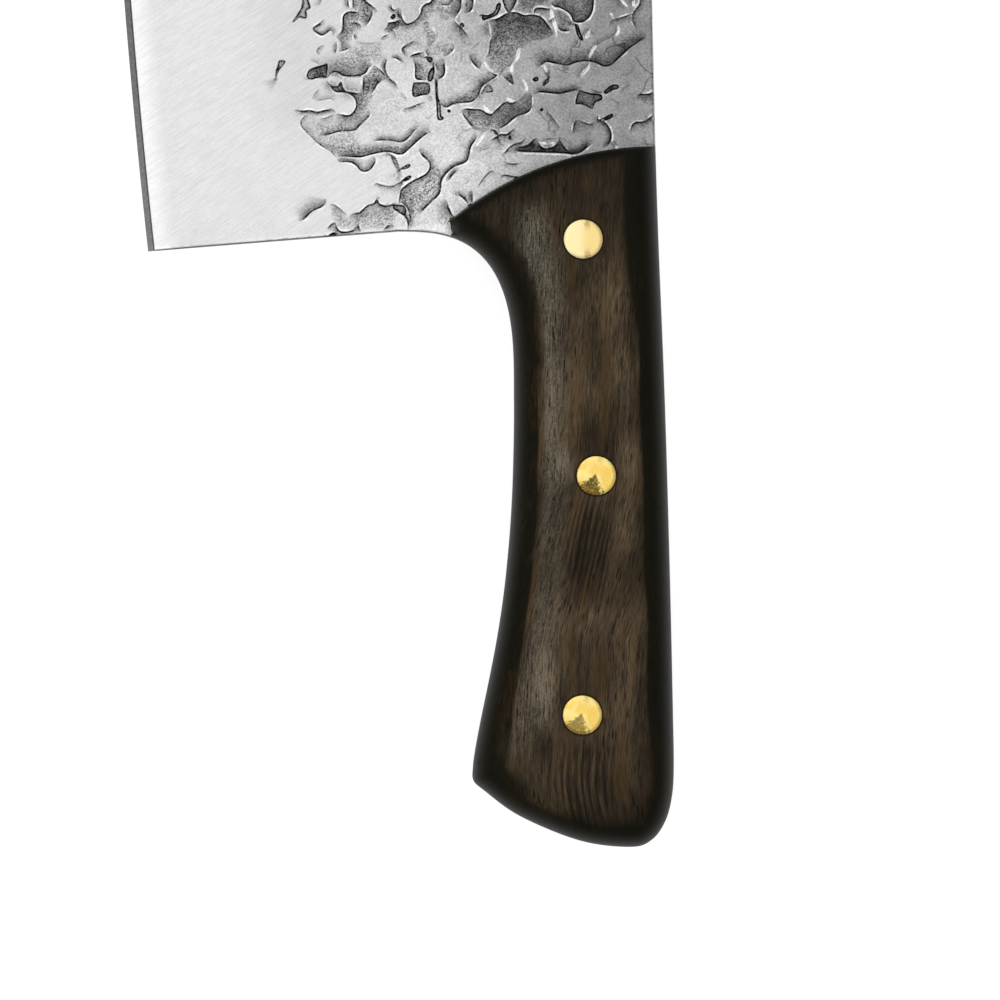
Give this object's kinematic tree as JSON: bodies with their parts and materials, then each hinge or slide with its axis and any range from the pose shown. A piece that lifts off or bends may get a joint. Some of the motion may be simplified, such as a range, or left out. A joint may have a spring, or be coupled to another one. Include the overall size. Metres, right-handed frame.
{
  "type": "cleaver",
  "caption": "Broad kitchen cleaver with a forged steel blade and full tang between dark wooden handle scales held by brass cutler's rivets.",
  "frame": {"origin": "middle of the footprint, at the height of the right scale's cheek, which is down", "axes": "+Y along the knife from butt to nose, +X from the edge towards the spine, +Z out of the left cheek, which is the face in the picture"},
  "size_m": [0.1038, 0.3088, 0.022],
  "materials": {
    "steel": "satin ground band at the edge, grey forge scale above it",
    "wood": "oiled dark wenge, satin",
    "brass": "turned flush, bright"
  },
  "bodies": {
    "root": {"blade": "steel", "left_scale": "wood", "right_scale": "wood", "front_rivet_sleeve": "brass", "front_rivet_pin": "brass", "middle_rivet_sleeve": "brass", "middle_rivet_pin": "brass", "rear_rivet_sleeve": "brass", "rear_rivet_pin": "brass"}
  },
  "joints": []
}
